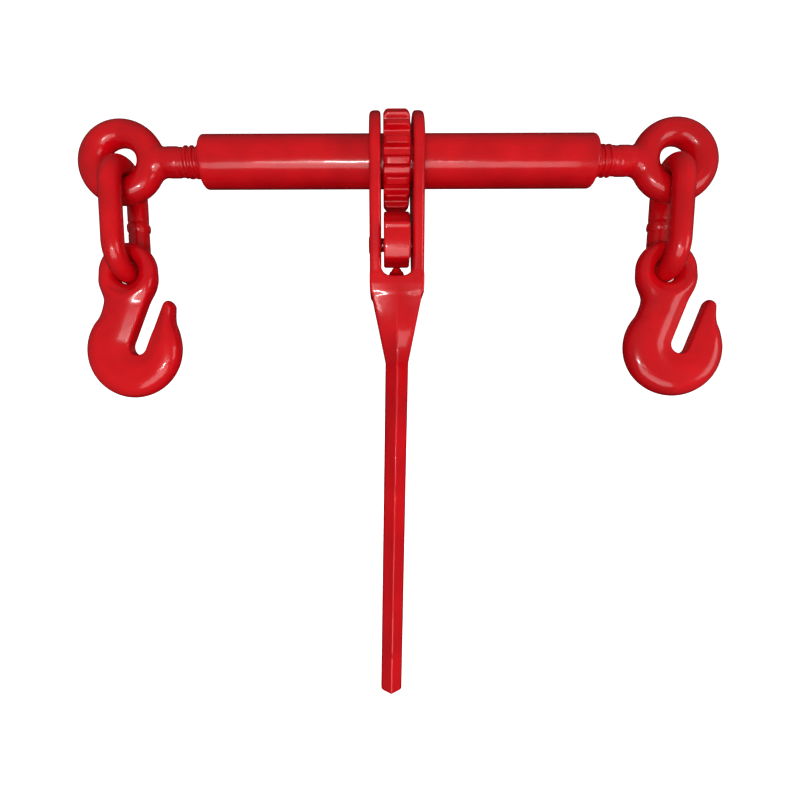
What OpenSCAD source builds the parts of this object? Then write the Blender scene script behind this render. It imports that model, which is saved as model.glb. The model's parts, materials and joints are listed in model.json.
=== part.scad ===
// Ratchet load binder: a barrel with a ratchet gear at its middle, a right-hand eye screw in one
// end and a left-hand eye screw in the other, a welded link and a grab hook on each eye, and a
// handle with a reversible pawl that swings about the barrel.
//
// +X runs along the barrel, +Z is up, and the handle hangs along -Z. The hooks open towards +X.
// The origin is the centre of the barrel. All sizes are in millimetres.

/* [Barrel] */
// Length of the barrel tube
barrel_len = 256; // [248:1:270]
// Outside diameter of the barrel tube
barrel_d = 34; // [33:0.1:34.4]
// Inside diameter of the barrel tube
barrel_id = 26; // [25.4:0.1:26.6]
// Length of the threaded insert in each end of the barrel
insert_len = 16.5; // [14:0.5:18]

/* [Ratchet] */
// Place of the gear and the handle along the barrel
ratchet_x = -1.3; // [-3:0.1:3]
// Number of teeth on the gear
gear_teeth = 16; // [16:8:16]
// Radius over the tooth tips
gear_tip_r = 31; // [30.8:0.1:31.1]
// Radius at the bottom of the tooth gaps
gear_root_r = 26.5; // [26:0.1:26.6]
// Width of the gear along the barrel
gear_w = 17; // [14:0.5:17]
// Distance from the barrel axis down to the pawl pin
pawl_drop = 55; // [55:0.1:55.4]

/* [Handle] */
// Outside radius of the two ring cheeks
cheek_r = 30; // [28:0.5:31]
// Clear width between the cheeks
window_w = 20; // [19:0.5:21]
// Width over the cheeks
yoke_w = 35; // [34:0.5:38]
// Distance from the barrel axis to the end of the handle
handle_len = 347; // [300:1:360]
// Sideways bend of the bar, measured at its free end, towards -X
handle_bend = 4.4; // [0:0.1:5]

/* [Eye screws] */
// Outside diameter of the screw thread
thread_d = 20.8; // [19:0.1:21.4]
// Pitch of the screw thread
thread_pitch = 4; // [3:0.5:4]
// Distance from the barrel centre to the middle of each eye
eye_x = 182; // [180:1:195]
// Radius of the eye's ring, at the middle of its bar
eye_ring_r = 19.2; // [18:0.1:20]
// Radius of the eye's bar
eye_bar_r = 9; // [8:0.1:9.2]

/* [Links and hooks] */
// Radius of the link's wire
wire_r = 6.9; // [6:0.1:7]
// Length of a link's straight sides
link_straight = 35; // [34:0.5:44]
// Inward lean of the left link from straight down, in degrees
left_lean = 3; // [0:0.1:6]
// Inward lean of the right link from straight down, in degrees
right_lean = 4.3; // [0:0.1:6]
// Turn of the left link about its own length, in degrees
left_twist = -2; // [-5:0.5:5]
// Turn of the right link about its own length, in degrees
right_twist = -5; // [-5:0.5:5]
// Swing of the left hook's body toward the middle, in degrees
left_hook_lean = 1; // [0:0.5:3]
// Turn of the left hook about the vertical, in degrees
left_hook_twist = -4.5; // [-5:0.5:5]
// Turn of the right hook about the vertical, in degrees
right_hook_twist = -1.5; // [-5:0.5:5]
// Width of the hook's throat
throat_w = 11.4; // [10.5:0.1:12]
// Thickness of the hook's body
hook_t = 16; // [14:0.5:18]

/* [Hidden] */

$fn = 96;
red = "#c8141e";
steel = "#8c9096";
run_gap = 0.08;                 // radial clearance of a running fit
contact_gap = 0.3;              // clearance where a ring rests on another
cut = 1;                        // how far a cutter runs past a face

insert_x = barrel_len / 2 - 0.5;                    // outer face of each insert
dutch_pin_d = 5;

gear_bore_r = barrel_d / 2;
tooth_pitch = 360 / gear_teeth;
tooth_land = 4.5;                                   // width of a tooth at its tip
tooth_tip_half = asin(tooth_land / 2 / gear_tip_r);
tooth_root_half = tooth_tip_half + 2.2;              // degrees, so the flanks open outwards

cheek_bore_r = barrel_d / 2 + run_gap;
crotch_z = -78;                                     // bottom of the window between the cheeks
crotch_fillet = 6;
yoke_end_z = -83;                                   // where the handle starts to narrow
yoke_end_r = 15;                                    // half depth of the handle there
neck_z = -133;                                      // where the plain bar starts
neck_w = 15;
neck_d = 22;
bar_end_w = 13.4;
bar_end_d = 18;
section_t = 0.01;                                   // thickness of a section that a hull joins
boss_top_z = -72.5;
pawl_pin_d = 9;
pawl_w = 16.8;
pawl_cam_r = 14.7;                                  // rounded underside that the plunger presses
pawl_body_r = 26;
pawl_horn_r = 27.1;
pawl_horn_angle = 52;                               // from straight up to each horn, in neutral
pawl_engaged = 41.6;                                // turn from neutral to either engaged place
pawl_rest = 26.5;                                   // turn from neutral at rest
pawl_recess_r = 23.4;
pawl_tooth_gap = 0.4;

plunger_d = 6.5;
plunger_top_z = -pawl_drop - pawl_cam_r - 0.1;
plunger_base_z = -92;
plunger_bore_z = -112;
spring_r = 2.9;
spring_wire = 0.9;
spring_pitch = 2.4;

screw_tip_x = 9;                                    // inner end of each screw
spigot_d = 12;
spigot_len = 8;
thread_start_x = screw_tip_x + spigot_len;
grooved_x = insert_x - insert_len;                  // cut thread shows from here outwards
thread_end_x = 142;
shank_d = 19.7;
washer_t = 3;
washer_x = thread_start_x - 0.2 - washer_t;
stop_pin_d = 3;
stop_pin_len = 20;

hook_hang = 0.4;                                    // height of the hook's eye over the wire
link_bend_r = 17.6;
link_top_z = -(eye_ring_r - eye_bar_r) + contact_gap + wire_r - link_bend_r;
link_low_z = link_top_z - link_straight;
link_wire_z = link_low_z - link_bend_r;             // middle of the wire that carries the hook

hook_bar_r = 6;
hook_ring_r = 13.7;
bowl_r = 31.7;
bowl = [3.6, -50.8];
throat_end = [7.4, -48.8];
throat_lean = 22;
tip_r = 4;
tip = [27.9, -23.2];
waist_r = 15;
waist = [-31, -17.5];
mouth_corner = [19.4, -19];                         // keeps the mouth clear above the tip

// Turns a shape drawn along Z so that it runs along X instead.
module along_x() { rotate([0, 90, 0]) children(); }

// Turns an outline's first axis to +Y and its second to +Z, and extrudes it along X.
module plate_yz(width) {
    rotate([90, 0, 90]) linear_extrude(width, center = true) children();
}

// Turns an outline's first axis to +X and its second to +Z, and extrudes it along Y.
module plate_xz(width) {
    rotate([90, 0, 0]) linear_extrude(width, center = true) children();
}

// A round bar along X from x0 to x1, with its radius r0 at x0 and r1 at x1.
module bar_x(x0, x1, r0, r1) {
    translate([x0, 0, 0]) along_x() cylinder(h = x1 - x0, r1 = r0, r2 = r1);
}

// ---- barrel ----

module dutch_pins(length) {
    for (side = [-1, 1])
        translate([-length / 2, 0, side * barrel_d / 2]) along_x()
            cylinder(d = dutch_pin_d, h = length);
}

module barrel_tube() {
    chamfer = 1.2;
    half = barrel_len / 2;
    color(red) difference() {
        along_x() rotate_extrude() polygon([
            [barrel_id / 2, -half], [barrel_d / 2 - chamfer, -half], [barrel_d / 2, chamfer - half],
            [barrel_d / 2, half - chamfer], [barrel_d / 2 - chamfer, half], [barrel_id / 2, half]]);
        translate([ratchet_x, 0, 0]) dutch_pins(gear_w);
    }
}

module thread_insert(side) {
    color(red) difference() {
        bar_x(min(side * insert_x, side * grooved_x), max(side * insert_x, side * grooved_x),
              barrel_id / 2, barrel_id / 2);
        along_x() cylinder(r = thread_d / 2 + run_gap, h = barrel_len, center = true);
    }
}
module left_thread_insert() { thread_insert(-1); }
module right_thread_insert() { thread_insert(1); }

// One tooth gap after another round the gear; grow widens the teeth by a clearance.
module gear_outline(grow = 0) {
    root_half = tooth_root_half + grow / gear_root_r * 180 / PI;
    tip_half = tooth_tip_half + grow / gear_tip_r * 180 / PI;
    polygon([for (i = [0 : gear_teeth - 1], edge = [
        [gear_root_r, -root_half], [gear_tip_r, -tip_half], [gear_tip_r, 0],
        [gear_tip_r, tip_half], [gear_root_r, root_half]])
        let (a = i * tooth_pitch + edge[1]) (edge[0] + grow) * [cos(a), sin(a)]]);
}

module ratchet_gear() {
    bevel = 2;
    half = gear_w / 2;
    outer_r = gear_tip_r + 0.1;
    color(red) translate([ratchet_x, 0, 0]) difference() {
        intersection() {
            plate_yz(gear_w) gear_outline();
            along_x() rotate_extrude() polygon([
                [0, -half], [gear_tip_r - bevel, -half], [outer_r, bevel - half],
                [outer_r, half - bevel], [gear_tip_r - bevel, half], [0, half]]);
        }
        along_x() cylinder(r = gear_bore_r, h = gear_w + 2 * cut, center = true);
        dutch_pins(gear_w + 2 * cut);
    }
}

module gear_dutch_pins() { color(steel) translate([ratchet_x, 0, 0]) dutch_pins(gear_w); }

// ---- handle, pawl and detent ----

// Side outline of the yoke: the cheek's circle, then straight tangents down to its narrow end.
module yoke_side() {
    lean = asin((cheek_r - yoke_end_r) / -(yoke_end_z + 3));
    end_z = yoke_end_z + 3;
    circle(cheek_r);
    polygon([
        cheek_r * [cos(lean), -sin(lean)],
        [yoke_end_r * cos(lean), end_z - yoke_end_r * sin(lean)],
        [-yoke_end_r * cos(lean), end_z - yoke_end_r * sin(lean)],
        cheek_r * [-cos(lean), -sin(lean)]]);
}

module window_front() {
    r = crotch_fillet;
    for (side = [-1, 1])
        translate([side * (window_w / 2 - r), crotch_z + r]) circle(r);
    translate([-window_w / 2, crotch_z + r]) square([window_w, cheek_r - crotch_z]);
    translate([r - window_w / 2, crotch_z]) square([window_w - 2 * r, r + cut]);
}

// Thin six-sided section of the handle with a ridge at the front and at the back.
module handle_section(place, w, d, ridge) {
    s = d / 2 - ridge;
    translate(place) linear_extrude(section_t)
        polygon([[-w / 2, -s], [0, -d / 2], [w / 2, -s], [w / 2, s], [0, d / 2], [-w / 2, s]]);
}

module neck_section() { handle_section([0, 0, neck_z], neck_w, neck_d, 7.5); }

module handle() {
    boss_base_r = 6;
    boss_tip_r = 4.4;
    color(red) translate([ratchet_x, 0, 0]) difference() {
        union() {
            intersection() {
                plate_yz(yoke_w) yoke_side();
                translate([0, 0, yoke_end_z / 2])
                    cube([yoke_w, 2 * cheek_r, 2 * cheek_r - yoke_end_z], center = true);
            }
            hull() {
                handle_section([0, 0, yoke_end_z + 1], yoke_w, 2 * yoke_end_r - 1, 3);
                neck_section();
            }
            hull() {
                neck_section();
                handle_section([-handle_bend, 0, -handle_len], bar_end_w, bar_end_d, 6.3);
            }
        }
        along_x() cylinder(r = cheek_bore_r, h = yoke_w + 2 * cut, center = true);
        difference() {
            plate_xz(3 * cheek_r) window_front();
            translate([0, 0, crotch_z])
                cylinder(r1 = boss_base_r, r2 = boss_tip_r, h = boss_top_z - crotch_z);
        }
        translate([0, 0, -pawl_drop]) along_x()
            cylinder(d = pawl_pin_d, h = yoke_w + 2 * cut, center = true);
        translate([0, 0, plunger_bore_z])
            cylinder(d = plunger_d + 2 * run_gap, h = boss_top_z - plunger_bore_z + cut);
    }
}

module pawl_pin() {
    head_t = 0.7;
    head_r = 6;
    x = yoke_w / 2;
    color(red) translate([ratchet_x, 0, -pawl_drop]) {
        bar_x(-x, x, pawl_pin_d / 2, pawl_pin_d / 2);
        bar_x(-x - head_t, -x, head_r - 1.4, head_r);
        bar_x(x, x + head_t, head_r, head_r - 1.4);
    }
}

module sector(r, a0, a1, steps = 24) {
    polygon([[0, 0], for (i = [0 : steps]) let (a = a0 + (a1 - a0) * i / steps) r * [sin(a), cos(a)]]);
}

// Front half of the pawl's blank, seen along the barrel, with its pin at the origin.
module pawl_side() {
    sector(pawl_body_r, 5, -99);
    polygon([for (p = [[5, 20], [pawl_horn_r, pawl_horn_angle - 4], [pawl_horn_r, pawl_horn_angle],
                       [pawl_body_r, pawl_horn_angle + 9], [5, 80]])
        p[0] * [-sin(p[1]), cos(p[1])]]);
}

module pawl() {
    notch_r = 9;
    notch_depth = 0.6;
    color(red) translate([ratchet_x, 0, -pawl_drop]) rotate([pawl_rest, 0, 0]) plate_yz(pawl_w)
        difference() {
            union() {
                circle(pawl_cam_r);
                pawl_side();
                mirror([1, 0]) pawl_side();
            }
            difference() {
                sector(pawl_drop, -46, 46);
                circle(pawl_recess_r);
            }
            for (side = [-1, 1])
                rotate(-side * pawl_engaged) translate([0, pawl_drop])
                    rotate(90) gear_outline(pawl_tooth_gap);
            circle(d = pawl_pin_d + 2 * run_gap);
            for (a = [-pawl_engaged, 0, pawl_engaged]) rotate(a)
                translate([0, -pawl_cam_r - notch_r + notch_depth]) circle(notch_r);
        }
}

module detent_plunger() {
    r = plunger_d / 2;
    nose = 1.6;
    color(red) translate([ratchet_x, 0, 0]) union() {
        translate([0, 0, plunger_base_z])
            cylinder(r = r, h = plunger_top_z - nose - plunger_base_z);
        translate([0, 0, plunger_top_z - nose]) cylinder(r1 = r, r2 = r - 1.6, h = nose);
    }
}

module detent_spring() {
    length = plunger_base_z - plunger_bore_z;
    span = 360 * spring_wire / spring_pitch;
    steps = 6;
    color(steel) translate([ratchet_x, 0, plunger_bore_z])
        linear_extrude(length, twist = -360 * length / spring_pitch, slices = 130, $fn = 8)
            polygon([
                for (i = [0 : steps]) spring_r * [cos(span * i / steps), sin(span * i / steps)],
                for (i = [steps : -1 : 0])
                    (spring_r - spring_wire) * [cos(span * i / steps), sin(span * i / steps)]]);
}

// ---- eye screws ----

module stop_washer() {
    color(steel) translate([washer_x, 0, 0]) along_x() difference() {
        cylinder(r = barrel_id / 2 - run_gap, h = washer_t);
        translate([0, 0, -cut]) cylinder(r = spigot_d / 2 + run_gap, h = washer_t + 2 * cut);
    }
}
module left_stop_washer() { mirror([1, 0, 0]) stop_washer(); }
module right_stop_washer() { stop_washer(); }

module stop_pin(clear = 0) {
    color(steel) translate([screw_tip_x + 2.4, 0, 0])
        cylinder(d = stop_pin_d, h = stop_pin_len + clear, center = true);
}
module left_stop_pin() { mirror([1, 0, 0]) stop_pin(); }
module right_stop_pin() { stop_pin(); }

// The thread is drawn as ring grooves of the real pitch and depth.
module eye_screw() {
    root_r = thread_d / 2 - 1.6;
    crest = 0.5;
    flank = 2;
    flare_x = 150;
    flare_r = eye_bar_r - 0.2;
    turns = floor((thread_end_x - grooved_x) / thread_pitch);
    color(red) difference() {
        union() {
            bar_x(screw_tip_x, thread_start_x + cut, spigot_d / 2, spigot_d / 2);
            bar_x(thread_start_x, grooved_x, thread_d / 2, thread_d / 2);
            along_x() rotate_extrude() polygon(concat(
                [[0, grooved_x - cut], [thread_d / 2, grooved_x - cut]],
                [for (i = [0 : turns - 1], p = [[0, 0], [crest, 0], [flank, 1], [flank + crest, 1]])
                    [thread_d / 2 - p[1] * (thread_d / 2 - root_r), grooved_x + i * thread_pitch + p[0]]],
                [[root_r, thread_end_x], [shank_d / 2, thread_end_x + 1], [shank_d / 2, flare_x],
                 [flare_r, eye_x - eye_ring_r], [0, eye_x - eye_ring_r]]));
            translate([eye_x, 0, 0]) rotate([90, 0, 0])
                rotate_extrude() translate([eye_ring_r, 0]) circle(eye_bar_r, $fn = 64);
        }
        stop_pin(cut);
    }
}
module left_eye_screw() { mirror([1, 0, 0]) eye_screw(); }
module right_eye_screw() { eye_screw(); }

// ---- links ----

module half_link() {
    rotate_extrude(angle = 180) translate([link_bend_r, 0]) circle(wire_r, $fn = 64);
}

module link(weld_y) {
    weld_bead = 0.9;
    color(red) translate([0, 0, link_top_z]) rotate([0, 0, 90]) rotate([90, 0, 0]) half_link();
    color(red) translate([0, 0, link_low_z]) rotate([0, 0, 90]) rotate([-90, 0, 0]) half_link();
    color(red) for (side = [-1, 1])
        translate([0, side * link_bend_r, link_low_z]) cylinder(r = wire_r, h = link_straight);
    color(red) translate([0, weld_y * link_bend_r, (link_top_z + link_low_z) / 2 - 2])
        cylinder(r = wire_r + weld_bead, h = 4);
}
module left_link() { translate([-eye_x, 0, 0]) rotate([0, -left_lean, 0]) rotate(left_twist) link(1); }
module right_link() { translate([eye_x, 0, 0]) rotate([0, right_lean, 0]) rotate(right_twist) link(1); }

// ---- hooks ----

// Throat of the hook: a round-ended slot that leans back towards +X and runs out at the top.
module throat(grow = 0) {
    r = throat_w / 2 + grow;
    translate(throat_end) rotate(-throat_lean) {
        circle(r);
        translate([-r, 0]) square([2 * r, 60]);
    }
}

// Outline of the hook below its eye, pulled in by inset on every edge.
module hook_outline(inset) {
    difference() {
        union() {
            translate(bowl) circle(bowl_r - inset);
            polygon([[-17.4 + inset, -8.8], [-19.7 + inset, -28.1], [20, -45], [17.5 - inset, -9]]);
            polygon([[35.2 - inset, -46], [31.8 - inset, -23.5], [24 + inset, -23.5], [12 + inset, -50]]);
            translate(tip) circle(tip_r - inset * 0.6);
        }
        translate(waist) circle(waist_r + inset);
        throat(inset);
        rotate(-throat_lean) translate(mouth_corner) square([bowl_r, 2 * bowl_r]);
    }
}

module hook() {
    layers = [[hook_t, 3.4], [hook_t * 0.7, 1.7], [hook_t * 0.4, 0]];
    color(red) union() {
        rotate([90, 90, 0]) rotate_extrude()
            translate([hook_ring_r, 0]) rotate(22.5) circle(hook_bar_r / cos(22.5), $fn = 8);
        difference() {
            union() {
                for (layer = layers) plate_xz(layer[0]) hook_outline(layer[1]);
            }
            rotate([90, 0, 0]) cylinder(r = hook_ring_r + 1.5, h = 2 * hook_t, center = true);
        }
    }
}
// Where a hook's eye hangs on the end of a link that leans inwards from the eye at x.
function hook_place(x, lean) =
    [x + sign(x) * link_wire_z * sin(lean), 0, link_wire_z * cos(lean) + hook_hang];

module left_hook() {
    translate(hook_place(-eye_x, left_lean)) rotate([0, -left_hook_lean, left_hook_twist]) hook();
}
module right_hook() { translate(hook_place(eye_x, right_lean)) rotate(right_hook_twist) hook(); }

barrel_tube();
left_thread_insert();
right_thread_insert();
ratchet_gear();
gear_dutch_pins();
handle();
pawl_pin();
pawl();
detent_plunger();
detent_spring();
left_stop_washer();
right_stop_washer();
left_eye_screw();
right_eye_screw();
left_stop_pin();
right_stop_pin();
left_link();
right_link();
left_hook();
right_hook();
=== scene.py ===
import json
import math

import bpy
import numpy as np
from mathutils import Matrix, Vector


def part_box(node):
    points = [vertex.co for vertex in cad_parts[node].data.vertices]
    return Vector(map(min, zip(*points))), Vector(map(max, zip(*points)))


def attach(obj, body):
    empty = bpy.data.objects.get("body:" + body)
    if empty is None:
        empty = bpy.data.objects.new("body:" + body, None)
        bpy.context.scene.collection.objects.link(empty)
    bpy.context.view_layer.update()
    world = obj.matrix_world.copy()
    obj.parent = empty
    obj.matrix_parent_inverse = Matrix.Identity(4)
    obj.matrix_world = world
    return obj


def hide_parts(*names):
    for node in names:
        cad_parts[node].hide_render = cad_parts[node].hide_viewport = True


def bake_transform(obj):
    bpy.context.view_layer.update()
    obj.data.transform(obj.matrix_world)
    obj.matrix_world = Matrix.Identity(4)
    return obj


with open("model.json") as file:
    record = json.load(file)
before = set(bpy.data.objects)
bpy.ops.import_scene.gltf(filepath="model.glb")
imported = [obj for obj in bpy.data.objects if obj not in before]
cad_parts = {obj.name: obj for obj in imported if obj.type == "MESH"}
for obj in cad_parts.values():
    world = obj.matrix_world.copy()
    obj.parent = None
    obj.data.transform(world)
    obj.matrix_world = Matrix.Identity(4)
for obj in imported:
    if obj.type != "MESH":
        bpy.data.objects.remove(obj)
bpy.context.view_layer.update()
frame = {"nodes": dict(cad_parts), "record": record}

MM = 0.001


# ---- driving sizes, in millimetres, read from the frame where it holds them ----

def box_mm(node):
    """A node's lowest and highest corner at rest, in millimetres."""
    low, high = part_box(node)
    return np.array(low) / MM, np.array(high) / MM


def joint(name):
    return next(j for j in frame["record"]["behaviour"]["joints"] if j["name"] == name)


RUN_GAP = 0.08      # between pieces that turn or slide on each other
SKIN = 0.02         # keeps the faces of touching pieces from coinciding
AXIS_R = 0.01       # a turned outline starts and ends here, almost on its axis

# barrel
tube_high = box_mm("barrel_tube")[1]
BARREL_HALF = tube_high[0]
BARREL_R = tube_high[2]
BARREL_EDGE = 1.2
INSERT_LOW, INSERT_HIGH = (v[0] for v in box_mm("right_thread_insert"))
INSERT_R = box_mm("right_thread_insert")[1][2]

# gear
gear_low, gear_high = box_mm("ratchet_gear")
RATCHET_X = (gear_low[0] + gear_high[0]) / 2.0
GEAR_HALF = (gear_high[0] - gear_low[0]) / 2.0
GEAR_TIP_R = gear_high[2]
TOOTH_DEPTH = 4.5
GEAR_ROOT_R = GEAR_TIP_R - TOOTH_DEPTH
GEAR_TEETH = 16
TOOTH_LAND = 4.5
TOOTH_FLANK = 0.13
GEAR_BEVEL = 2.2
GEAR_BEVEL_SLOPE = 0.9

# handle: yoke with a window between two cheeks, neck, six-sided bar, and the plunger's boss and well
handle_low, handle_high = box_mm("handle")
YOKE_HALF = handle_high[0] - RATCHET_X
CHEEK_R = handle_high[2]
CHEEK_BORE_R = BARREL_R + RUN_GAP
WINDOW_HALF = 10.0
WINDOW_CORNER = 6.0
CROTCH_Z = -78.0
YOKE_END_R = 15.0
YOKE_END_Z = -83.0
YOKE_OVERLAP = 6.0
YOKE_DEPTH = 15.2
NECK_Z = -133.0
NECK_HALF = 7.5
NECK_RIDGE = 7.5
NECK_THINNING = 4.2
HANDLE_END = handle_low[2]
HANDLE_BEND = 4.4
END_NARROWING, END_THINNING, END_RIDGE_LOSS = 0.8, 2.0, 1.2
BOSS_R = 6.0
BOSS_SLOPE = 0.3
BOSS_ABOVE, BOSS_BELOW = 5.5, 8.0
WELL_Z = -112.0

# pawl, with its pin and plunger
PAWL_Z = joint("pawl_flip")["pos_m"][2] / MM
PAWL_HALF = box_mm("pawl")[1][0] - RATCHET_X
PAWL_REST = math.radians(26.5)
PAWL_ENGAGED = math.radians(41.6)
PAWL_CAM_R = 14.7
PAWL_BODY_R, PAWL_BODY_ANGLE = 26.0, math.radians(99.0)
PAWL_RECESS_R, PAWL_RECESS_ANGLE = 21.0, math.radians(46.0)
HORN_AT_R, HORN_ANGLE, HORN_R = 25.0, math.radians(50.5), 2.3
NOTCH_R = 9.0
NOTCH_OUT = 8.4
TOOTH_GAP = 0.4
PIN_R = 4.5
PIN_HEAD = 0.7
PIN_HEAD_R, PIN_FACE_R, PIN_HEAD_SLOPE = 6.0, 4.6, (0.5, 5.8)
PLUNGER_R = box_mm("detent_plunger")[1][0] - RATCHET_X

# eye screws
EYE_X = joint("right_link_swing")["pos_m"][0] / MM
EYE_RING_R = 19.2
EYE_BAR_R = 9.0
SCREW_TIP = box_mm("right_eye_screw")[0][0]
SPIGOT_R = 6.0
THREAD_R = 10.4
THREAD_DEPTH = 1.1
THREAD_PITCH = 4.0
THREAD_START = 17.0
THREAD_END = 142.0
THREAD_FADE_IN, THREAD_RUN_OUT = 2.0, 3.0
SHANK_R = 9.85
SHANK_OVERLAP = 6.0
SHANK_TAPER, TAPER_AFTER, TAPER_LENGTH = 0.09, 8.0, 9.0

# links and hooks; -1 is the left side and 1 the right
WIRE_R = 6.9
LINK_BEND = 17.6
LINK_STRAIGHT = 35.0
LINK_LEAN = {-1: math.radians(3.0), 1: math.radians(4.3)}
LINK_TWIST = {-1: math.radians(-2.0), 1: math.radians(-5.0)}
LINK_DROP = 0.3
LINK_TOP_Z = LINK_DROP + WIRE_R - (EYE_RING_R - EYE_BAR_R) - LINK_BEND
LINK_LOW_Z = LINK_TOP_Z - LINK_STRAIGHT
BEAD_HALF, BEAD_RISE, BEAD_LUMPS = 2.6, 0.75, 0.12
GROOVE_AT, GROOVE_DEPTH = 3.4, 0.3

HOOK_LEAN = {-1: math.radians(-1.0), 1: 0.0}
HOOK_TWIST = {-1: math.radians(-4.5), 1: math.radians(-1.5)}
HOOK_HANG = 0.4
# The right hook's box is that of the hook after its turn, so this is 0.64 more than the CAD's half thickness.
HOOK_HALF = box_mm("right_hook")[1][1]
HOOK_BAR_R = 6.0
HOOK_RING_R = 13.7
HOOK_RING_SWELL = 0.7
EDGE_WIDTH, EDGE_SLOPE = 5.5, 0.85
THROAT_WIDTH, THROAT_SLOPE = 10.0, 0.42


# ---- signed distance functions; p is an (n, 3) array in millimetres ----

def smin(a, b, k):
    """Smooth union of two distances, blended over k."""
    h = np.clip(0.5 + 0.5 * (b - a) / k, 0.0, 1.0)
    return b + (a - b) * h - k * h * (1.0 - h)


def smax(a, b, k):
    """Smooth intersection of two distances, blended over k."""
    return -smin(-a, -b, k)


def hypot(a, b):
    return np.sqrt(a * a + b * b)


def slab(v, half):
    return np.abs(v) - half


def bevel(rise, edge, width, slope):
    """A slope down from a flat face to its edge, starting a width inside it; edge is the distance to it."""
    return (rise + slope * (width + edge)) / math.hypot(1.0, slope)


def wedge(radius, angle, half_angle):
    """A wedge of a plane, half_angle to each side of the direction in which angle is 0."""
    return radius * np.sin(np.clip(angle - half_angle, -1.5, 1.5))


def torus(x, y, z, ring_r, bar_r):
    """A ring round the origin, whose hole runs along Y and whose bar may vary round it."""
    return hypot(hypot(x, z) - ring_r, y) - bar_r


def round_cone_2d(x, z, a, b, ra, rb):
    """Distance in a plane to a bar from a to b whose radius goes from ra to rb."""
    ax, az = b[0] - a[0], b[1] - a[1]
    t = np.clip(((x - a[0]) * ax + (z - a[1]) * az) / (ax * ax + az * az), 0.0, 1.0)
    return hypot(x - a[0] - ax * t, z - a[1] - az * t) - (ra + (rb - ra) * t)


def convex_2d(x, z, points, k):
    """Distance in a plane to a convex polygon given clockwise, with corners softened over k."""
    d = None
    for (ax, az), (bx, bz) in zip(points, points[1:] + points[:1]):
        ex, ez = bx - ax, bz - az
        side = ((x - ax) * -ez + (z - az) * ex) / math.hypot(ex, ez)
        d = side if d is None else smax(d, side, k)
    return d


def surface_net(sdf, low, high, step, rounds=3):
    """Vertices and quads of sdf's zero surface, each vertex moved onto the surface itself."""
    low = np.array(low, float) - 2.0 * step
    count = np.ceil((np.array(high, float) + 2.0 * step - low) / step).astype(int) + 1
    axes = [low[i] + step * np.arange(count[i]) for i in range(3)]
    grid = np.stack(np.meshgrid(*axes, indexing="ij"), -1).reshape(-1, 3)
    field = np.concatenate([sdf(part) for part in np.array_split(grid, len(grid) // 400000 + 1)])
    field = field.reshape(count)
    inside = field < 0.0
    cells = np.array(count) - 1
    total = np.zeros((*cells, 3))
    hits = np.zeros(cells)
    for axis in range(3):
        other = [i for i in range(3) if i != axis]
        for s in (0, 1):
            for t in (0, 1):
                near = [slice(None)] * 3
                near[other[0]] = slice(s, s + cells[other[0]])
                near[other[1]] = slice(t, t + cells[other[1]])
                far = list(near)
                near[axis] = slice(0, cells[axis])
                far[axis] = slice(1, cells[axis] + 1)
                a, b = field[tuple(near)], field[tuple(far)]
                crosses = inside[tuple(near)] != inside[tuple(far)]
                part = np.where(crosses, a / np.where(crosses, a - b, 1.0), 0.0)
                total[..., axis] += np.where(crosses, part, 0.0)
                total[..., other[0]] += np.where(crosses, s, 0.0)
                total[..., other[1]] += np.where(crosses, t, 0.0)
                hits += crosses
    used = hits > 0
    index = np.full(cells, -1)
    index[used] = np.arange(used.sum())
    place = np.argwhere(used)
    points = low + step * (place + total[used] / hits[used][:, None])
    quads = []
    for axis in range(3):
        other = [(axis + 1) % 3, (axis + 2) % 3]
        near, far = [slice(1, -1)] * 3, [slice(1, -1)] * 3
        near[axis], far[axis] = slice(0, -1), slice(1, None)
        change = inside[tuple(near)].astype(int) - inside[tuple(far)].astype(int)
        for sign in (1, -1):
            at = np.argwhere(change == sign)
            offset = np.ones(3, int)
            offset[axis] = 0
            at = at + offset
            corners = []
            for s, t in ((1, 1), (0, 1), (0, 0), (1, 0))[::sign]:
                c = at.copy()
                c[:, other[0]] -= s
                c[:, other[1]] -= t
                corners.append(index[tuple(c.T)])
            quads.append(np.stack(corners, 1))
    quads = np.concatenate(quads)
    small = 0.02 * step
    for _ in range(rounds):
        d = sdf(points)
        slope = np.stack([(sdf(points + e) - sdf(points - e)) / (2.0 * small)
                          for e in np.eye(3) * small], 1)
        size = np.maximum((slope ** 2).sum(1), 0.2)
        move = -d[:, None] * slope / size[:, None]
        reach = np.linalg.norm(move, axis=1, keepdims=True)
        points = points + move * np.minimum(1.0, 0.6 * step / np.maximum(reach, 1e-9))
    return points, quads


# ---- shapes of the forged pieces ----

# The hook's outline, seen from in front with its eye's centre at the origin.
THROAT_END = (7.4, -48.8)
THROAT_LEAN = math.radians(22.0)
THROAT_R = 5.7
BOWL, BOWL_R = (3.6, -50.8), 31.7
HOOK_SHANK = [(-17.4, -4.0), (17.5, -4.0), (24.0, -48.0), (-19.7, -28.1)]
WAIST, WAIST_R = (-31.0, -17.5), 15.0
TIP_ROOT, TIP_ROOT_R = (23.2, -49.0), 11.4
TIP_END, TIP_END_R = (26.5, -24.4), 5.2
TIP_HOLLOW, TIP_HOLLOW_R = (45.6, -31.0), 14.0
TIP_ONLY_Z = -36.0


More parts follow.
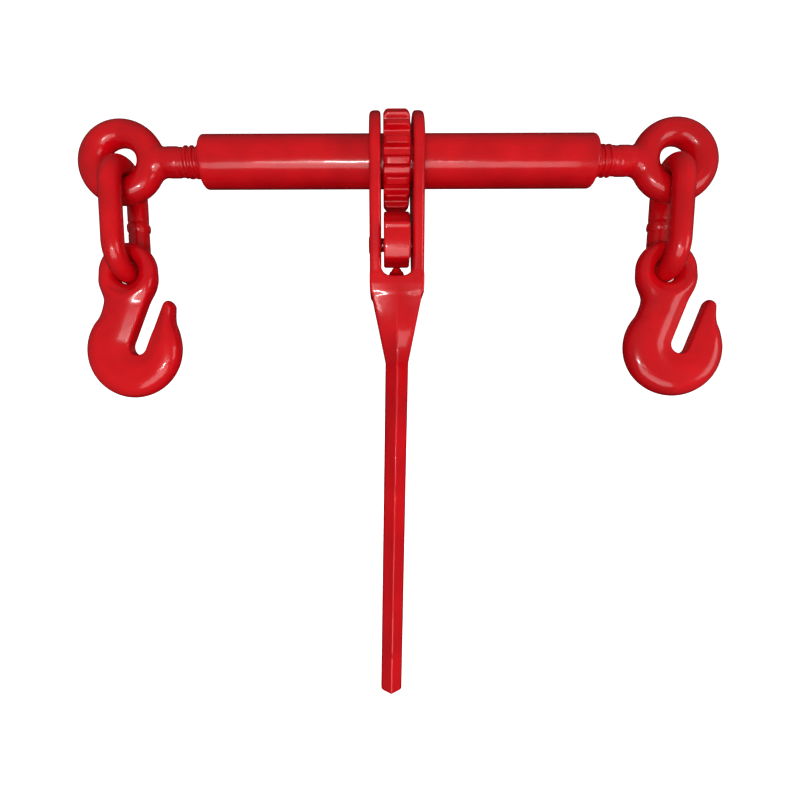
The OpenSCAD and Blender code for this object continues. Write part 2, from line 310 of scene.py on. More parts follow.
def hook_outline(x, z):
    """Distances in the hook's own plane, with the eye's centre at the origin: outer edge, throat."""
    bowl = hypot(x - BOWL[0], z - BOWL[1]) - BOWL_R
    shank = convex_2d(x, z, HOOK_SHANK, 4.0)
    waist = WAIST_R - hypot(x - WAIST[0], z - WAIST[1])
    ux, uz = math.sin(THROAT_LEAN), math.cos(THROAT_LEAN)
    along = (x - THROAT_END[0]) * ux + (z - THROAT_END[1]) * uz
    across = (x - THROAT_END[0]) * uz - (z - THROAT_END[1]) * ux
    slot = THROAT_R - hypot(across, np.minimum(along, 0.0))
    body = smax(smin(bowl, shank, 5.0), waist, 3.0)
    beyond = smax(-across, TIP_ONLY_Z - z, 1.0)
    tip = round_cone_2d(x, z, TIP_ROOT, TIP_END, TIP_ROOT_R, TIP_END_R)
    tip = smax(tip, TIP_HOLLOW_R - hypot(x - TIP_HOLLOW[0], z - TIP_HOLLOW[1]), 2.0)
    return smin(smax(body, -beyond, 1.0), tip, 1.5), slot


def hook_sdf(centre, lean, twist):
    """Flat-faced forging: a narrow slope round its outer edge and a wide one along its throat."""
    c, s = math.cos(twist), math.sin(twist)
    cl, sl = math.cos(lean), math.sin(lean)

    def sdf(p):
        x, y, z = (p - centre).T
        x, y = x * c + y * s, y * c - x * s
        x, z = x * cl - z * sl, z * cl + x * sl
        edge, slot = hook_outline(x, z)
        rise = slab(y, HOOK_HALF)
        plate = smax(smax(edge, slot, 2.5), rise, 3.0)
        plate = smax(plate, bevel(rise, edge, EDGE_WIDTH, EDGE_SLOPE), 3.5)
        plate = smax(plate, bevel(rise, slot, THROAT_WIDTH, THROAT_SLOPE), 1.6)
        plate = smax(plate, HOOK_RING_R + 2.0 - hypot(x, z), 3.0)
        bar_r = HOOK_BAR_R + HOOK_RING_SWELL * np.clip(-z / HOOK_RING_R, 0.0, 1.0) ** 2
        return smin(plate, torus(x, y, z, HOOK_RING_R, bar_r), 5.0)
    return sdf


def eye_sdf(side):
    """An eye's ring and the smooth part of its shank."""
    def sdf(p):
        x, y, z = p.T
        u = np.abs(x)
        ring = torus(x - side * EYE_X, y, z, EYE_RING_R, EYE_BAR_R)
        beyond = np.maximum(u - EYE_X + EYE_RING_R + SHANK_OVERLAP, 0.0)
        taper = SHANK_TAPER * np.clip(u - THREAD_END - TAPER_AFTER, 0.0, TAPER_LENGTH)
        shank = hypot(hypot(y, z), beyond) - SHANK_R + taper
        shank = smax(shank, THREAD_END + 1.0 - u, 2.0)
        return smin(ring, shank, 4.0)
    return sdf


def handle_sdf(p):
    """Yoke with two ring cheeks, tapered six-sided bar, and the plunger's boss and well."""
    x, y, z = (p - (RATCHET_X, 0.0, 0.0)).T
    lean = math.asin((CHEEK_R - YOKE_END_R) / (-YOKE_END_Z - 3.0))
    side = np.abs(y) * math.cos(lean) - z * math.sin(lean) - CHEEK_R
    above = z * math.cos(lean) + np.abs(y) * math.sin(lean) > 0.0
    side = np.where(above, hypot(y, z) - CHEEK_R, side)
    yoke = smax(smax(side, slab(x, YOKE_HALF), 3.5), YOKE_END_Z - YOKE_OVERLAP - z, 2.0)

    to_neck = np.clip((YOKE_END_Z - z) / (YOKE_END_Z - NECK_Z), 0.0, 1.0)
    to_end = np.clip((NECK_Z - z) / (NECK_Z - HANDLE_END), 0.0, 1.0)
    half_w = YOKE_HALF + (NECK_HALF - YOKE_HALF) * to_neck - END_NARROWING * to_end
    half_d = YOKE_DEPTH - NECK_THINNING * to_neck - END_THINNING * to_end
    slope = (NECK_RIDGE * to_neck - END_RIDGE_LOSS * to_end) / half_w
    across = np.abs(x + HANDLE_BEND * to_end)
    faces = (np.abs(y) - half_d + slope * across) / np.sqrt(1.0 + slope ** 2)
    taper = (YOKE_HALF - NECK_HALF) / (YOKE_END_Z - NECK_Z)
    bar = smax((across - half_w) / math.hypot(1.0, taper), faces, 1.4)
    bar = smax(bar, np.maximum(z - YOKE_END_Z - YOKE_OVERLAP, HANDLE_END - z), 1.0)
    solid = smax(smin(yoke, bar, 2.0), slab(x, YOKE_HALF), 0.6)

    sideways = np.maximum(slab(x, WINDOW_HALF - WINDOW_CORNER), 0.0)
    downwards = np.minimum(z - CROTCH_Z - WINDOW_CORNER, 0.0)
    corner = hypot(sideways, downwards) - WINDOW_CORNER
    window = -np.where(z > CROTCH_Z + WINDOW_CORNER, slab(x, WINDOW_HALF), corner)
    boss = hypot(x, y) - BOSS_R - (CROTCH_Z - z) * BOSS_SLOPE
    boss = smax(boss, z - CROTCH_Z - BOSS_ABOVE, 0.8)
    solid = smin(smax(solid, window, 2.4), smax(boss, CROTCH_Z - BOSS_BELOW - z, 1.0), 1.6)
    solid = smax(solid, CHEEK_BORE_R - hypot(y, z), 1.6)
    well = smax(hypot(x, y) - PLUNGER_R - RUN_GAP, WELL_Z - z, 0.6)
    solid = smax(solid, -well, 0.6)
    return smax(solid, PIN_R - hypot(y, z - PAWL_Z), 0.4)


def gear_outline(y, z, grow=0.0):
    """Distance in the gear's plane: one tooth, folded round the circle."""
    radius = hypot(y, z)
    angle = np.arctan2(y, z)
    pitch = 2.0 * math.pi / GEAR_TEETH
    folded = np.abs((angle + pitch / 2.0) % pitch - pitch / 2.0)
    across, out = radius * np.sin(folded), radius * np.cos(folded)
    flank = across - TOOTH_LAND / 2.0 + (out - GEAR_TIP_R) * TOOTH_FLANK
    tooth = smax(flank, out - GEAR_TIP_R, 0.7)
    return smin(tooth, radius - GEAR_ROOT_R, 1.4) - grow


def gear_sdf(p):
    """The toothed ring, bevelled at both ends of its teeth."""
    x, y, z = (p - (RATCHET_X, 0.0, 0.0)).T
    rise = slab(x, GEAR_HALF)
    solid = smax(gear_outline(y, z), rise, 0.9)
    solid = smax(solid, bevel(rise, hypot(y, z) - GEAR_TIP_R, GEAR_BEVEL, GEAR_BEVEL_SLOPE), 0.9)
    return smax(solid, BARREL_R - hypot(y, z), 0.3)


def pawl_sdf(p):
    """Two-horned pawl: teeth towards the gear at its horns, a notched cam towards the plunger."""
    x, dy, dz = (p - (RATCHET_X, 0.0, PAWL_Z)).T
    c, s = math.cos(PAWL_REST), math.sin(PAWL_REST)
    v, w = dy * c + dz * s, dz * c - dy * s
    radius = hypot(v, w)
    angle = np.arctan2(np.abs(v), w)
    cam = radius - PAWL_CAM_R
    for notch in (-PAWL_ENGAGED, 0.0, PAWL_ENGAGED):
        out = PAWL_CAM_R + NOTCH_OUT
        cam = smax(cam, NOTCH_R - hypot(v - out * math.sin(notch), w + out * math.cos(notch)), 1.0)
    body = smax(radius - PAWL_BODY_R, wedge(radius, angle, PAWL_BODY_ANGLE), 1.5)
    horn_v, horn_w = HORN_AT_R * math.sin(HORN_ANGLE), HORN_AT_R * math.cos(HORN_ANGLE)
    horn = hypot(np.abs(v) - horn_v, w - horn_w) - HORN_R
    solid = smin(smin(cam, body, 2.0), horn, 1.0)
    recess = smax(PAWL_RECESS_R - radius, wedge(radius, angle, PAWL_RECESS_ANGLE), 0.6)
    solid = smax(solid, -recess, 0.6)
    for side in (-1.0, 1.0):
        ce, se = math.cos(PAWL_ENGAGED), math.sin(PAWL_ENGAGED) * side
        gear_y = v * ce - w * se
        gear_z = v * se + w * ce + PAWL_Z
        solid = smax(solid, -gear_outline(gear_y, gear_z, TOOTH_GAP), 0.5)
    solid = smax(solid, slab(x, PAWL_HALF), 1.8)
    return smax(solid, PIN_R + RUN_GAP - hypot(dy, dz), 0.4)


# ---- meshes ----

def add_mesh(name, points_mm, faces, material, body, slot, *nodes):
    """Makes one piece from points in millimetres and puts it in place of its CAD nodes.

    It rides on the body, or is left unattached for the caller if the body is None.
    """
    mesh = bpy.data.meshes.new(name)
    mesh.from_pydata((np.asarray(points_mm) * MM).tolist(), [], [tuple(map(int, f)) for f in faces])
    mesh.validate()
    mesh.polygons.foreach_set("use_smooth", [True] * len(mesh.polygons))
    piece = bpy.data.objects.new(name, mesh)
    bpy.context.scene.collection.objects.link(piece)
    mesh.materials.append(material)
    if body is not None:
        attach(piece, body)
    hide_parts(*nodes)
    return piece


def forged(name, sdf, low, high, step, material, body, slot, *nodes):
    """A piece from a distance function, meshed between two corners at a given step."""
    points, faces = surface_net(sdf, low, high, step * (1.0))
    return add_mesh(name, points, faces, material, body, slot, *nodes)


def ring_faces(rows, columns, close_rows=False):
    """Quads of a grid of points that closes on itself round each row."""
    faces = []
    for i in range(rows if close_rows else rows - 1):
        j = (i + 1) % rows
        for a in range(columns):
            b = (a + 1) % columns
            faces.append((i * columns + a, i * columns + b, j * columns + b, j * columns + a))
    return faces


def round_corners(profile, radius, steps=5):
    """Replaces each corner of a closed outline by a small arc-like curve."""
    out = []
    for i, here in enumerate(profile):
        before, after = np.array(profile[i - 1]), np.array(profile[(i + 1) % len(profile)])
        here = np.array(here)
        to_before, to_after = before - here, after - here
        reach_a = min(radius, 0.45 * np.linalg.norm(to_before))
        reach_b = min(radius, 0.45 * np.linalg.norm(to_after))
        a = here + to_before / np.linalg.norm(to_before) * reach_a
        b = here + to_after / np.linalg.norm(to_after) * reach_b
        for t in np.linspace(0.0, 1.0, steps):
            out.append((1 - t) ** 2 * a + 2 * t * (1 - t) * here + t * t * b)
    return np.array(out)


def lathe(profile, axis, columns=128, radius=0.4, splits=1):
    """Turns a closed outline of (distance along, radius) pairs about X or Z."""
    outline = round_corners(profile, radius)
    if splits > 1:
        outline = np.concatenate([outline[i] + (outline[(i + 1) % len(outline)] - outline[i])
                                  * np.linspace(0, 1, splits, endpoint=False)[:, None]
                                  for i in range(len(outline))])
    angle = np.linspace(0.0, 2.0 * math.pi, columns, endpoint=False)
    along = np.repeat(outline[:, 0], columns)
    r = np.repeat(outline[:, 1], columns)
    c, s = np.tile(np.cos(angle), len(outline)), np.tile(np.sin(angle), len(outline))
    if axis == "x":
        points = np.stack([along, r * c, r * s], 1)
    else:
        points = np.stack([r * c, r * s, along], 1)
    return points, ring_faces(len(outline), columns, close_rows=True)


def outward(points, faces):
    """Turns the faces round if the closed mesh they make is inside out."""
    p = np.asarray(points)
    f = np.asarray([face for face in faces if len(face) == 4])
    a, b, c, d = (p[f[:, i]] for i in range(4))
    volume = (np.cross(b - a, c - a) * a).sum() + (np.cross(c - a, d - a) * a).sum()
    return faces if volume > 0 else [tuple(reversed(face)) for face in faces]


def turned(name, profile, axis, material, body, slot, *nodes, centre=(0, 0, 0), **options):
    """A piece turned about X or Z through the centre."""
    points, faces = lathe(profile, axis, **options)
    points = points + np.array(centre)
    return add_mesh(name, points, outward(points, faces), material, body, slot, *nodes)


def thread_profile(turn):
    """How far out the thread stands, from 0 at its root to 1 at its crest, along one turn."""
    root_share, flank_share = 0.26, 0.46
    from_root = np.abs((turn % 1.0) - 0.5) * 2.0
    rise = np.clip((from_root - root_share) / flank_share, 0.0, 1.0)
    return rise * rise * (3.0 - 2.0 * rise)


def screw_points(side, columns=72):
    """A screw's spigot, helical thread and shank, from its inner end outwards."""
    step = 0.25
    x = np.concatenate([[SCREW_TIP, SCREW_TIP], SCREW_TIP + np.array([0.3, 1.0]),
                        np.linspace(SCREW_TIP + 2, THREAD_START - 0.02, 8),
                        np.arange(THREAD_START, THREAD_END + 6.0, step)])
    angle = np.linspace(0.0, 2.0 * math.pi, columns, endpoint=False)
    xs, an = np.meshgrid(x, angle, indexing="ij")
    hand = -side
    height = thread_profile(xs / THREAD_PITCH + hand * an / (2.0 * math.pi))
    fade_in = np.clip((xs - THREAD_START) / THREAD_FADE_IN, 0.0, 1.0)
    run_out = np.clip((THREAD_END - xs) / THREAD_RUN_OUT, 0.0, 1.0)
    root = THREAD_R - THREAD_DEPTH
    r = root + height * THREAD_DEPTH * fade_in * run_out
    shoulder = THREAD_END - 0.5
    r = np.where(xs > shoulder, np.minimum(root + (xs - shoulder) * 0.6, SHANK_R - 0.35), r)
    r = np.where(xs < THREAD_START, SPIGOT_R, r)
    for row, radius in ((0, AXIS_R), (1, SPIGOT_R - 0.6), (2, SPIGOT_R - 0.15), (-1, AXIS_R)):
        r[row] = radius
    xs[-1] = xs[-2]
    points = np.stack([side * xs, r * np.cos(an), r * np.sin(an)], -1).reshape(-1, 3)
    return points, ring_faces(len(x), columns)


def link_centre_line(s):
    """Where the wire's middle is after a run of s round the link, and its direction there: y, z, ty, tz."""
    half_turn = math.pi * LINK_BEND
    straight = LINK_TOP_Z - LINK_LOW_Z
    if s < half_turn:
        bend_z, a = LINK_TOP_Z, s / LINK_BEND
    elif s < half_turn + straight:
        return -LINK_BEND, LINK_TOP_Z - (s - half_turn), 0.0, -1.0
    elif s < 2.0 * half_turn + straight:
        bend_z, a = LINK_LOW_Z, math.pi + (s - half_turn - straight) / LINK_BEND
    else:
        return LINK_BEND, LINK_LOW_Z + (s - 2.0 * half_turn - straight), 0.0, 1.0
    return LINK_BEND * math.cos(a), bend_z + LINK_BEND * math.sin(a), -math.sin(a), math.cos(a)


def link_points(side, rows=220, columns=40):
    """The wire of a link, swept round its long ring, with a bead where its ends were welded."""
    total = 2.0 * (math.pi * LINK_BEND + (LINK_TOP_Z - LINK_LOW_Z))
    weld_y, weld_z = LINK_BEND, (LINK_TOP_Z + LINK_LOW_Z) / 2.0
    size, phase, drift = np.random.default_rng(7).normal(0.0, 1.0, (3, 5))
    points = []
    for s in np.linspace(0.0, total, rows, endpoint=False):
        y, z, ty, tz = link_centre_line(s)
        away = math.hypot(y - weld_y, z - weld_z)
        bead = math.exp(-(away / BEAD_HALF) ** 4)
        groove = math.exp(-(away - GROOVE_AT) ** 2 / 0.5) if away < 8 else 0.0
        for a in np.linspace(0.0, 2.0 * math.pi, columns, endpoint=False):
            lump = sum(size[k] * math.cos(k * a + phase[k] + (z - weld_z) * drift[k] * 0.6)
                       for k in range(1, 5)) * BEAD_LUMPS
            r = WIRE_R + bead * (BEAD_RISE + lump) - GROOVE_DEPTH * groove
            out, across = r * math.cos(a), r * math.sin(a)
            points.append((across, y + out * tz, z - out * ty))
    x, y, z = np.array(points).T
    c, s = math.cos(LINK_TWIST[side]), math.sin(LINK_TWIST[side])
    x, y = x * c - y * s, x * s + y * c
    c, s = math.cos(LINK_LEAN[side]), side * math.sin(LINK_LEAN[side])
    points = np.stack([side * EYE_X + x * c + z * s, y, z * c - x * s], 1)
    return points, ring_faces(rows, columns, close_rows=True)


# ---- materials ----

def new_material(name, base, roughness):
    material = bpy.data.materials.new(name)
    material.use_nodes = True
    nodes, links = material.node_tree.nodes, material.node_tree.links
    shader = nodes["Principled BSDF"]
    shader.inputs["Base Color"].default_value = (*base, 1.0)
    shader.inputs["Roughness"].default_value = roughness
    return material, nodes, links, shader


def noise(nodes, links, scale, detail=3.0, stretch=None):
    """Noise in the piece's own coordinates, which stretch may scale along each axis."""
    coords = nodes.new("ShaderNodeTexCoord")
    out = coords.outputs["Object"]
    if stretch is not None:
        mapping = nodes.new("ShaderNodeMapping")
        mapping.inputs["Scale"].default_value = stretch
        links.new(out, mapping.inputs["Vector"])
        out = mapping.outputs["Vector"]
    texture = nodes.new("ShaderNodeTexNoise")
    texture.inputs["Scale"].default_value = scale
    texture.inputs["Detail"].default_value = detail
    links.new(out, texture.inputs["Vector"])
    return texture.outputs["Fac"]


def ramp(nodes, links, value, stops):
    """A colour ramp through (position, colour) stops."""
    node = nodes.new("ShaderNodeValToRGB")
    elements = node.color_ramp.elements
    elements[0].position, elements[0].color = stops[0][0], (*stops[0][1], 1.0)
    elements[1].position, elements[1].color = stops[-1][0], (*stops[-1][1], 1.0)
    for position, color in stops[1:-1]:
        elements.new(position).color = (*color, 1.0)
    links.new(value, node.inputs["Fac"])
    return node.outputs["Color"]


def remap(nodes, links, value, low, high, from_low=0.0, from_high=1.0):
    """The value between from_low and from_high, stretched to between low and high."""
    node = nodes.new("ShaderNodeMapRange")
    node.inputs["From Min"].default_value = from_low
    node.inputs["From Max"].default_value = from_high
    node.inputs["To Min"].default_value = low
    node.inputs["To Max"].default_value = high
    links.new(value, node.inputs["Value"])
    return node.outputs["Result"]


def mix_color(nodes, links, factor, a, b):
    """Goes from a to b with the factor; each is a socket or a colour."""
    node = nodes.new("ShaderNodeMix")
    node.data_type = "RGBA"
    links.new(factor, node.inputs["Factor"])
    for socket, value in ((node.inputs[6], a), (node.inputs[7], b)):
        if isinstance(value, tuple):
            socket.default_value = (*value, 1.0)
        else:
            links.new(value, socket)
    return node.outputs[2]


def bump(nodes, links, height, distance, strength, after=None):
    """A normal bent by the height, on top of the normal given as after."""
    node = nodes.new("ShaderNodeBump")
    node.inputs["Distance"].default_value = distance
    node.inputs["Strength"].default_value = strength
    links.new(height, node.inputs["Height"])
    if after is not None:
        links.new(after, node.inputs["Normal"])
    return node.outputs["Normal"]


def red_enamel():
    """Thick gloss enamel: paler at worn edges, darker in hollows as painted shade together with pooled paint,
    with slow waves and a fine peel.
    """
    material, nodes, links, shader = new_material("red_enamel", (0.6, 0.002, 0.006), 0.2)
    cloud = noise(nodes, links, 38.0, 2.0)
    base = ramp(nodes, links, cloud, [(0.3, (0.52, 0.001, 0.005)), (0.55, (0.62, 0.002, 0.006)),
                                      (0.75, (0.68, 0.003, 0.008))])
    geometry = nodes.new("ShaderNodeNewGeometry")
    edge = remap(nodes, links, geometry.outputs["Pointiness"], 0.0, 1.0, 0.53, 0.62)
    grain = noise(nodes, links, 420.0, 3.0)
    worn = nodes.new("ShaderNodeMath")
    worn.operation = "MULTIPLY"
    links.new(edge, worn.inputs[0])
    links.new(remap(nodes, links, grain, 0.0, 0.6, 0.45, 0.7), worn.inputs[1])
    base = mix_color(nodes, links, worn.outputs[0], base, (0.74, 0.012, 0.016))
    # Painted shade: hollows (low pointiness) are darkened towards a deep red. This stands in for the shade
    # that falls in corners and creases, together with thicker pooled paint.
    paint_pool_and_shade = remap(nodes, links, geometry.outputs["Pointiness"], 0.55, 0.0, 0.40, 0.48)
    base = mix_color(nodes, links, paint_pool_and_shade, base, (0.30, 0.001, 0.006))
    links.new(base, shader.inputs["Base Color"])
    links.new(remap(nodes, links, noise(nodes, links, 90.0, 3.0), 0.17, 0.30), shader.inputs["Roughness"])
    shader.inputs["Coat Weight"].default_value = 0.28
    shader.inputs["Coat Roughness"].default_value = 0.07
    shader.inputs["Specular IOR Level"].default_value = 0.18
    waves = bump(nodes, links, noise(nodes, links, 75.0, 2.0), 0.0007, 0.28)
    peel = bump(nodes, links, noise(nodes, links, 520.0, 2.0), 0.0001, 0.25, after=waves)
    links.new(peel, shader.inputs["Normal"])
    links.new(waves, shader.inputs["Coat Normal"])
    return material


def turned_steel():
    """Zinc-grey turned steel with fine tool marks and a trace of grease."""
    material, nodes, links, shader = new_material("turned_steel", (0.55, 0.56, 0.58), 0.35)
    marks = noise(nodes, links, 600.0, 2.0, (6.0, 0.6, 0.6))
    shader.inputs["Metallic"].default_value = 1.0
    grease = noise(nodes, links, 130.0)
    links.new(ramp(nodes, links, grease, [(0.35, (0.40, 0.40, 0.41)), (0.65, (0.60, 0.61, 0.63))]),
              shader.inputs["Base Color"])
    links.new(remap(nodes, links, marks, 0.24, 0.5), shader.inputs["Roughness"])
    links.new(bump(nodes, links, marks, 0.00005, 0.3), shader.inputs["Normal"])
    return material


def spring_steel():
    """Dark oil-tempered wire with faint drawing lines."""
    material, nodes, links, shader = new_material("spring_steel", (0.12, 0.12, 0.13), 0.35)
    marks = noise(nodes, links, 900.0, 3.0)
    shader.inputs["Metallic"].default_value = 1.0
    links.new(ramp(nodes, links, marks, [(0.3, (0.08, 0.08, 0.09)), (0.7, (0.20, 0.20, 0.22))]),
              shader.inputs["Base Color"])
    links.new(remap(nodes, links, marks, 0.3, 0.5), shader.inputs["Roughness"])
    links.new(bump(nodes, links, marks, 0.00003, 0.3), shader.inputs["Normal"])
    return material


RED, STEEL, SPRING = red_enamel(), turned_steel(), spring_steel()
RED_SLOT, STEEL_SLOT, SPRING_SLOT = "red_enamel", "plated_steel", "spring_steel"


# ---- pieces ----

def bar_outline(low, high, r, edge):
    """A solid round bar from low to high along its axis, with its edges cut by edge."""
    return [(low, AXIS_R), (low, r - edge), (low + edge, r),
            (high - edge, r), (high, r - edge), (high, AXIS_R)]


def build_barrel():
    """Tube, the threaded insert at each of its ends, and the gear."""
    h, r, e = BARREL_HALF, BARREL_R, BARREL_EDGE
    bore = box_mm("left_thread_insert")[1][2]
    turned("barrel_tube_painted", [(-h, bore), (-h, r - e), (-h + e, r), (h - e, r), (h, r - e), (h, bore)],
           "x", RED, "barrel", RED_SLOT, "barrel_tube", radius=BARREL_EDGE, splits=3)
    for side, name in ((-1, "left"), (1, "right")):
        a, b = INSERT_LOW, INSERT_HIGH
        profile = [(side * a, THREAD_R + RUN_GAP), (side * a, INSERT_R - SKIN), (side * b, INSERT_R - SKIN),
                   (side * b, THREAD_R + 1.0), (side * (b - 1.0), THREAD_R + RUN_GAP)]
        turned(f"{name}_insert_painted", profile, "x", RED, "barrel", RED_SLOT, f"{name}_thread_insert",
               radius=0.3)
    span = GEAR_TIP_R + 1.0
    forged("ratchet_gear_forged", gear_sdf, (gear_low[0], -span, -span), (gear_high[0], span, span), 0.55,
           RED, "barrel", RED_SLOT, "ratchet_gear")


def build_handle():
    """Handle, pawl and its riveted pin, detent plunger and spring."""
    forged("handle_forged", handle_sdf, handle_low, handle_high, 0.8, RED, "handle", RED_SLOT, "handle")
    x, end = YOKE_HALF, YOKE_HALF + PIN_HEAD
    slope_x, slope_r = PIN_HEAD_SLOPE
    profile = [(-end, AXIS_R), (-end, PIN_FACE_R), (-end + slope_x, slope_r), (-x + SKIN, PIN_HEAD_R),
               (-x + SKIN, PIN_R - SKIN), (x - SKIN, PIN_R - SKIN),
               (x - SKIN, PIN_HEAD_R), (end - slope_x, slope_r), (end, PIN_FACE_R), (end, AXIS_R)]
    turned("pawl_pin_riveted", profile, "x", RED, "handle", RED_SLOT, "pawl_pin",
           centre=(RATCHET_X, 0, PAWL_Z), columns=64, radius=0.35)
    span = PAWL_BODY_R + 2.0
    forged("pawl_forged", pawl_sdf, (RATCHET_X - PAWL_HALF, -span, PAWL_Z - span),
           (RATCHET_X + PAWL_HALF, span, PAWL_Z + span), 0.5, RED, "pawl", RED_SLOT, "pawl")
    low, high = (v[2] for v in box_mm("detent_plunger"))
    r = PLUNGER_R
    profile = [(low, AXIS_R), (low, r - 0.4), (low + 0.4, r), (high - 1.7, r), (high - 0.7, r - 0.8),
               (high - 0.15, r - 2.0), (high, AXIS_R)]
    turned("detent_plunger_nose", profile, "z", RED, "detent_plunger", RED_SLOT, "detent_plunger",
           columns=48, radius=0.3, centre=(RATCHET_X, 0, 0))
    build_spring(*(v[2] for v in box_mm("detent_spring")))


def build_spring(low, high):
    """A round-wire coil with closed ends between two heights."""
    wire, coil, turns = 0.42, 2.45, 8.0
    end_share, middle_share = 0.14, 0.86
    rows, columns = 260, 10
    s = np.linspace(0.0, 1.0, rows)
    angle = (2.0 * math.pi * turns * s)[:, None]
    closed = np.clip((s - 0.1) / 0.8, 0.0, 1.0)
    height = low + wire + (high - low - 2.0 * wire) * (middle_share * closed + end_share * s)
    around = np.linspace(0.0, 2.0 * math.pi, columns, endpoint=False)
    r = coil + wire * np.cos(around)
    z = height[:, None] + wire * np.sin(around)
    points = np.stack([RATCHET_X + r * np.cos(angle), r * np.sin(angle), z], -1).reshape(-1, 3)
    faces = outward(points, ring_faces(rows, columns))
    first, last = tuple(range(columns)), tuple(range((rows - 1) * columns, rows * columns))
    faces = faces + [tuple(reversed(first)), last]
    coil_mesh = add_mesh("detent_spring_coil", points, faces, SPRING, None, SPRING_SLOT, "detent_spring")
    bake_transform(coil_mesh)


def build_side(side, name):
    """One end of the binder: stop washer, stop pin, eye screw, link and hook."""
    screw_body = f"{name}_eye_screw"
    a, b = (v[0] for v in box_mm(f"{name}_stop_washer"))
    outer, bore = box_mm(f"{name}_stop_washer")[1][2], SPIGOT_R + RUN_GAP
    turned(f"{name}_stop_washer_turned", [(a, bore), (a, outer), (b, outer), (b, bore)],
           "x", STEEL, f"{name}_stop_washer", STEEL_SLOT, f"{name}_stop_washer", radius=0.35, columns=72)
    low, high = box_mm(f"{name}_stop_pin")
    profile = bar_outline(low[2], high[2], (high[0] - low[0]) / 2.0, 0.3)
    turned(f"{name}_stop_pin_turned", profile, "z", STEEL, screw_body, STEEL_SLOT, f"{name}_stop_pin",
           centre=((low[0] + high[0]) / 2.0, 0, 0), columns=32, radius=0.1)
    points, faces = screw_points(side)
    add_mesh(f"{name}_screw_thread", points, outward(points, faces), RED, screw_body, RED_SLOT,
             f"{name}_eye_screw")
    span = EYE_RING_R + EYE_BAR_R
    ends = sorted((side * (THREAD_END - 1.0), side * (EYE_X + span)))
    forged(f"{name}_eye_forged", eye_sdf(side), (ends[0], -SHANK_R, -span), (ends[1], SHANK_R, span), 0.7,
           RED, screw_body, RED_SLOT, f"{name}_eye_screw")
    points, faces = link_points(side)
    add_mesh(f"{name}_link_welded", points, outward(points, faces), RED, f"{name}_link", RED_SLOT,
             f"{name}_link")
    centre = np.array(joint(f"{name}_hook_swing")["pos_m"]) / MM + (0.0, 0.0, HOOK_HANG)
    forged(f"{name}_hook_forged", hook_sdf(centre, HOOK_LEAN[side], HOOK_TWIST[side]),
           *box_mm(f"{name}_hook"), 0.7, RED, f"{name}_hook", RED_SLOT, f"{name}_hook")


build_barrel()
build_handle()
build_side(-1, "left")
build_side(1, "right")
for pin_slot in frame["nodes"]["gear_dutch_pins"].material_slots:
    pin_slot.material = STEEL


# ---- floor, camera and light ----

def stage_mesh(name, points, faces, material):
    """A surface that the camera sees, but that neither lights the model nor shows in it."""
    mesh = bpy.data.meshes.new(name)
    mesh.from_pydata(points, [], faces)
    mesh.materials.append(material)
    surface = bpy.data.objects.new(name, mesh)
    bpy.context.scene.collection.objects.link(surface)
    surface.visible_diffuse = False
    surface.visible_glossy = False
    return surface


def build_stage(material):
    """A seamless white floor that curves up into a backdrop."""
    floor_z, top_z, front_y, back_y, half_x, bend = -0.43, 4.0, -3.0, 1.6, 5.0, 0.8
    profile = [(front_y, floor_z), (back_y - bend, floor_z)]
    profile += [(back_y - bend + bend * math.sin(a), floor_z + bend * (1.0 - math.cos(a)))
                for a in np.linspace(0.0, math.pi / 2.0, 24)[1:]]
    profile += [(back_y, top_z)]
    points = [(x, y, z) for y, z in profile for x in (-half_x, half_x)]
    faces = [(2 * i, 2 * i + 1, 2 * i + 3, 2 * i + 2) for i in range(len(profile) - 1)]
    backdrop = stage_mesh("backdrop", points, faces, material)
    backdrop.data.polygons.foreach_set("use_smooth", [True] * len(faces))


def build_surround(material):
    """A closed white room round the floor, so that the background is as plain from every side."""
    half, low, high = 5.6, -0.44, 4.2
    corners = [(x, y, z) for x in (-half, half) for y in (-half, half) for z in (low, high)]
    walls = [(0, 1, 3, 2), (4, 6, 7, 5), (0, 4, 5, 1), (2, 3, 7, 6), (0, 2, 6, 4), (1, 5, 7, 3)]
    room = stage_mesh("surround", corners, walls, material)
    room.visible_shadow = False


def backdrop_white():
    """Matt white that also glows, so that it stays white where little light falls on it."""
    material, _, _, shader = new_material("backdrop_white", (0.92, 0.92, 0.92), 0.9)
    shader.inputs["Emission Color"].default_value = (1.0, 1.0, 1.0, 1.0)
    shader.inputs["Emission Strength"].default_value = 1.0
    return material


def area_light(name, place, target, size, power):
    """A rectangular white lamp at a place, turned towards a target, which the camera doesn't see."""
    light = bpy.data.lights.new(name, "AREA")
    light.shape = "RECTANGLE"
    light.size, light.size_y = size
    light.energy = power
    lamp = bpy.data.objects.new(name, light)
    lamp.location = place
    lamp.visible_camera = False
    lamp.rotation_euler = (Vector(target) - Vector(place)).to_track_quat("-Z", "Y").to_euler()
    bpy.context.scene.collection.objects.link(lamp)
    return lamp


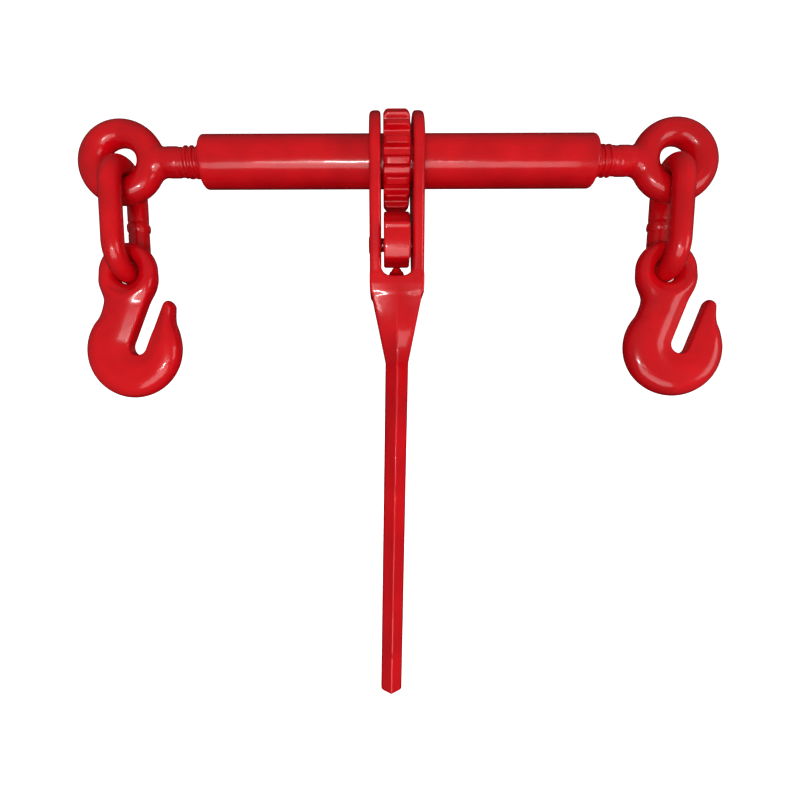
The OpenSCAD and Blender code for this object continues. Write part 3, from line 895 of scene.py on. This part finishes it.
def build_world():
    """Pale light from in front, dim behind, so that rims stay dark."""
    front, back = 0.42, 0.02
    world = bpy.data.worlds.new("studio")
    world.use_nodes = True
    nodes, links = world.node_tree.nodes, world.node_tree.links
    split = nodes.new("ShaderNodeSeparateXYZ")
    links.new(nodes.new("ShaderNodeTexCoord").outputs["Generated"], split.inputs["Vector"])
    links.new(remap(nodes, links, split.outputs["Y"], front, back, -1.0, 0.6),
              nodes["Background"].inputs["Strength"])
    nodes["Background"].inputs["Color"].default_value = (1.0, 1.0, 1.0, 1.0)
    bpy.context.scene.world = world


def build_lights():
    """A small lamp near the camera, two faint ones beside it, a window at the right,
    a bounce from below and a soft fill from behind."""
    area_light("lamp", (-0.078, -0.64, -0.28), (-0.03, 0.0, -0.05), (0.09, 0.045), 1.5)
    area_light("glow_left", (-0.20, -0.66, -0.29), (-0.05, 0.0, -0.05), (0.16, 0.05), 0.4)
    area_light("glow_right", (0.105, -0.64, -0.28), (0.03, 0.0, -0.05), (0.07, 0.035), 0.14)
    area_light("window_right", (1.1, -0.75, -0.2), (0.0, 0.0, -0.2), (0.5, 0.6), 3.5)
    area_light("bounce", (0.0, -1.2, -0.9), (0.0, 0.0, -0.1), (1.4, 0.6), 11.5)
    back_fill = area_light("back_fill", (0.2, 1.1, 0.45), (0.0, 0.0, -0.1), (1.6, 1.0), 12.0)
    back_fill.visible_glossy = False


def build_camera():
    """The photo's own view: from near by, at the height of the binder's middle, very slightly rolled."""
    camera = bpy.data.cameras.new("camera")
    camera.sensor_width = 36.0
    camera.lens = 23.86
    camera.shift_x = 0.01875
    camera.shift_y = 0.0015
    lens = bpy.data.objects.new("camera", camera)
    lens.location = (-0.0092, -0.35, -0.158)
    lens.rotation_euler = (math.pi / 2.0, math.radians(0.2), 0.0)
    camera.clip_start = 0.01
    bpy.context.scene.collection.objects.link(lens)
    bpy.context.scene.camera = lens
    bpy.context.scene.view_settings.view_transform = "Standard"


WHITE = backdrop_white()
build_stage(WHITE)
build_surround(WHITE)
build_world()
build_lights()
build_camera()
